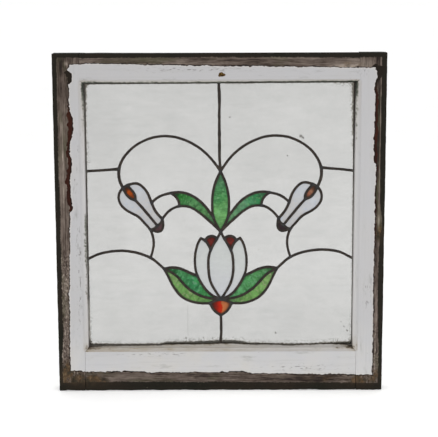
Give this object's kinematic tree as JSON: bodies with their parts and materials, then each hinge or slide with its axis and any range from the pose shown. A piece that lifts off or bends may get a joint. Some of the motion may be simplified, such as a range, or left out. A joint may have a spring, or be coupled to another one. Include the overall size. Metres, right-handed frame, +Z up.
{
  "type": "leaded stained glass window sash",
  "caption": "Old painted wooden sash holding a leaded glass panel of clear panes round a coloured tulip and scroll pattern.",
  "frame": {"origin": "middle of the flat bottom edge of the sash, half way through its thickness", "axes": "+Z up the sash, -Y out of its front (the bevelled, painted side), +X to the right seen from the front"},
  "size_m": [0.61, 0.035, 0.635],
  "materials": {
    "painted_wood": "old white paint worn back to bare grey-brown wood round the outside",
    "putty": "hard weathered putty under dark paint",
    "lead_came": "dull dark oxidised lead with solder at the joints",
    "clear_glass": "clear old sheet glass with faint ripples and dirt at the edges",
    "milk_glass": "translucent white opal glass",
    "amber_glass": "deep amber cathedral glass",
    "brown_glass": "near-black brown glass",
    "green_glass": "streaky green opal glass",
    "ruby_glass": "deep ruby glass",
    "scarlet_glass": "scarlet glass shading to orange"
  },
  "bodies": {
    "root": {"bulb_cap_left": "brown_glass", "bulb_cap_right": "brown_glass", "bulb_inner_petal_left": "milk_glass", "bulb_inner_petal_right": "milk_glass", "bulb_outer_petal_left": "milk_glass", "bulb_outer_petal_right": "milk_glass", "bulb_tear_left": "amber_glass", "bulb_tear_right": "amber_glass", "lead_lattice": "lead_came", "low_leaf_under_left": "green_glass", "low_leaf_under_right": "green_glass", "low_leaf_upper_left": "green_glass", "low_leaf_upper_right": "green_glass", "middle_leaf": "green_glass", "pane_arc_left": "clear_glass", "pane_arc_right": "clear_glass", "pane_field_left": "clear_glass", "pane_field_right": "clear_glass", "pane_lower_left": "clear_glass", "pane_lower_right": "clear_glass", "pane_side_left": "clear_glass", "pane_side_right": "clear_glass", "pane_stem_left": "clear_glass", "pane_stem_right": "clear_glass", "pane_upper_left": "clear_glass", "pane_upper_right": "clear_glass", "putty_bottom": "putty", "putty_left": "putty", "putty_right": "putty", "putty_top": "putty", "rail_bottom": "painted_wood", "rail_top": "painted_wood", "seed": "scarlet_glass", "side_leaf_left": "green_glass", "side_leaf_right": "green_glass", "stile_left": "painted_wood", "stile_right": "painted_wood", "tulip_jewel_left": "ruby_glass", "tulip_jewel_right": "ruby_glass", "tulip_middle_petal": "milk_glass", "tulip_side_petal_left": "milk_glass", "tulip_side_petal_right": "milk_glass"}
  },
  "joints": []
}
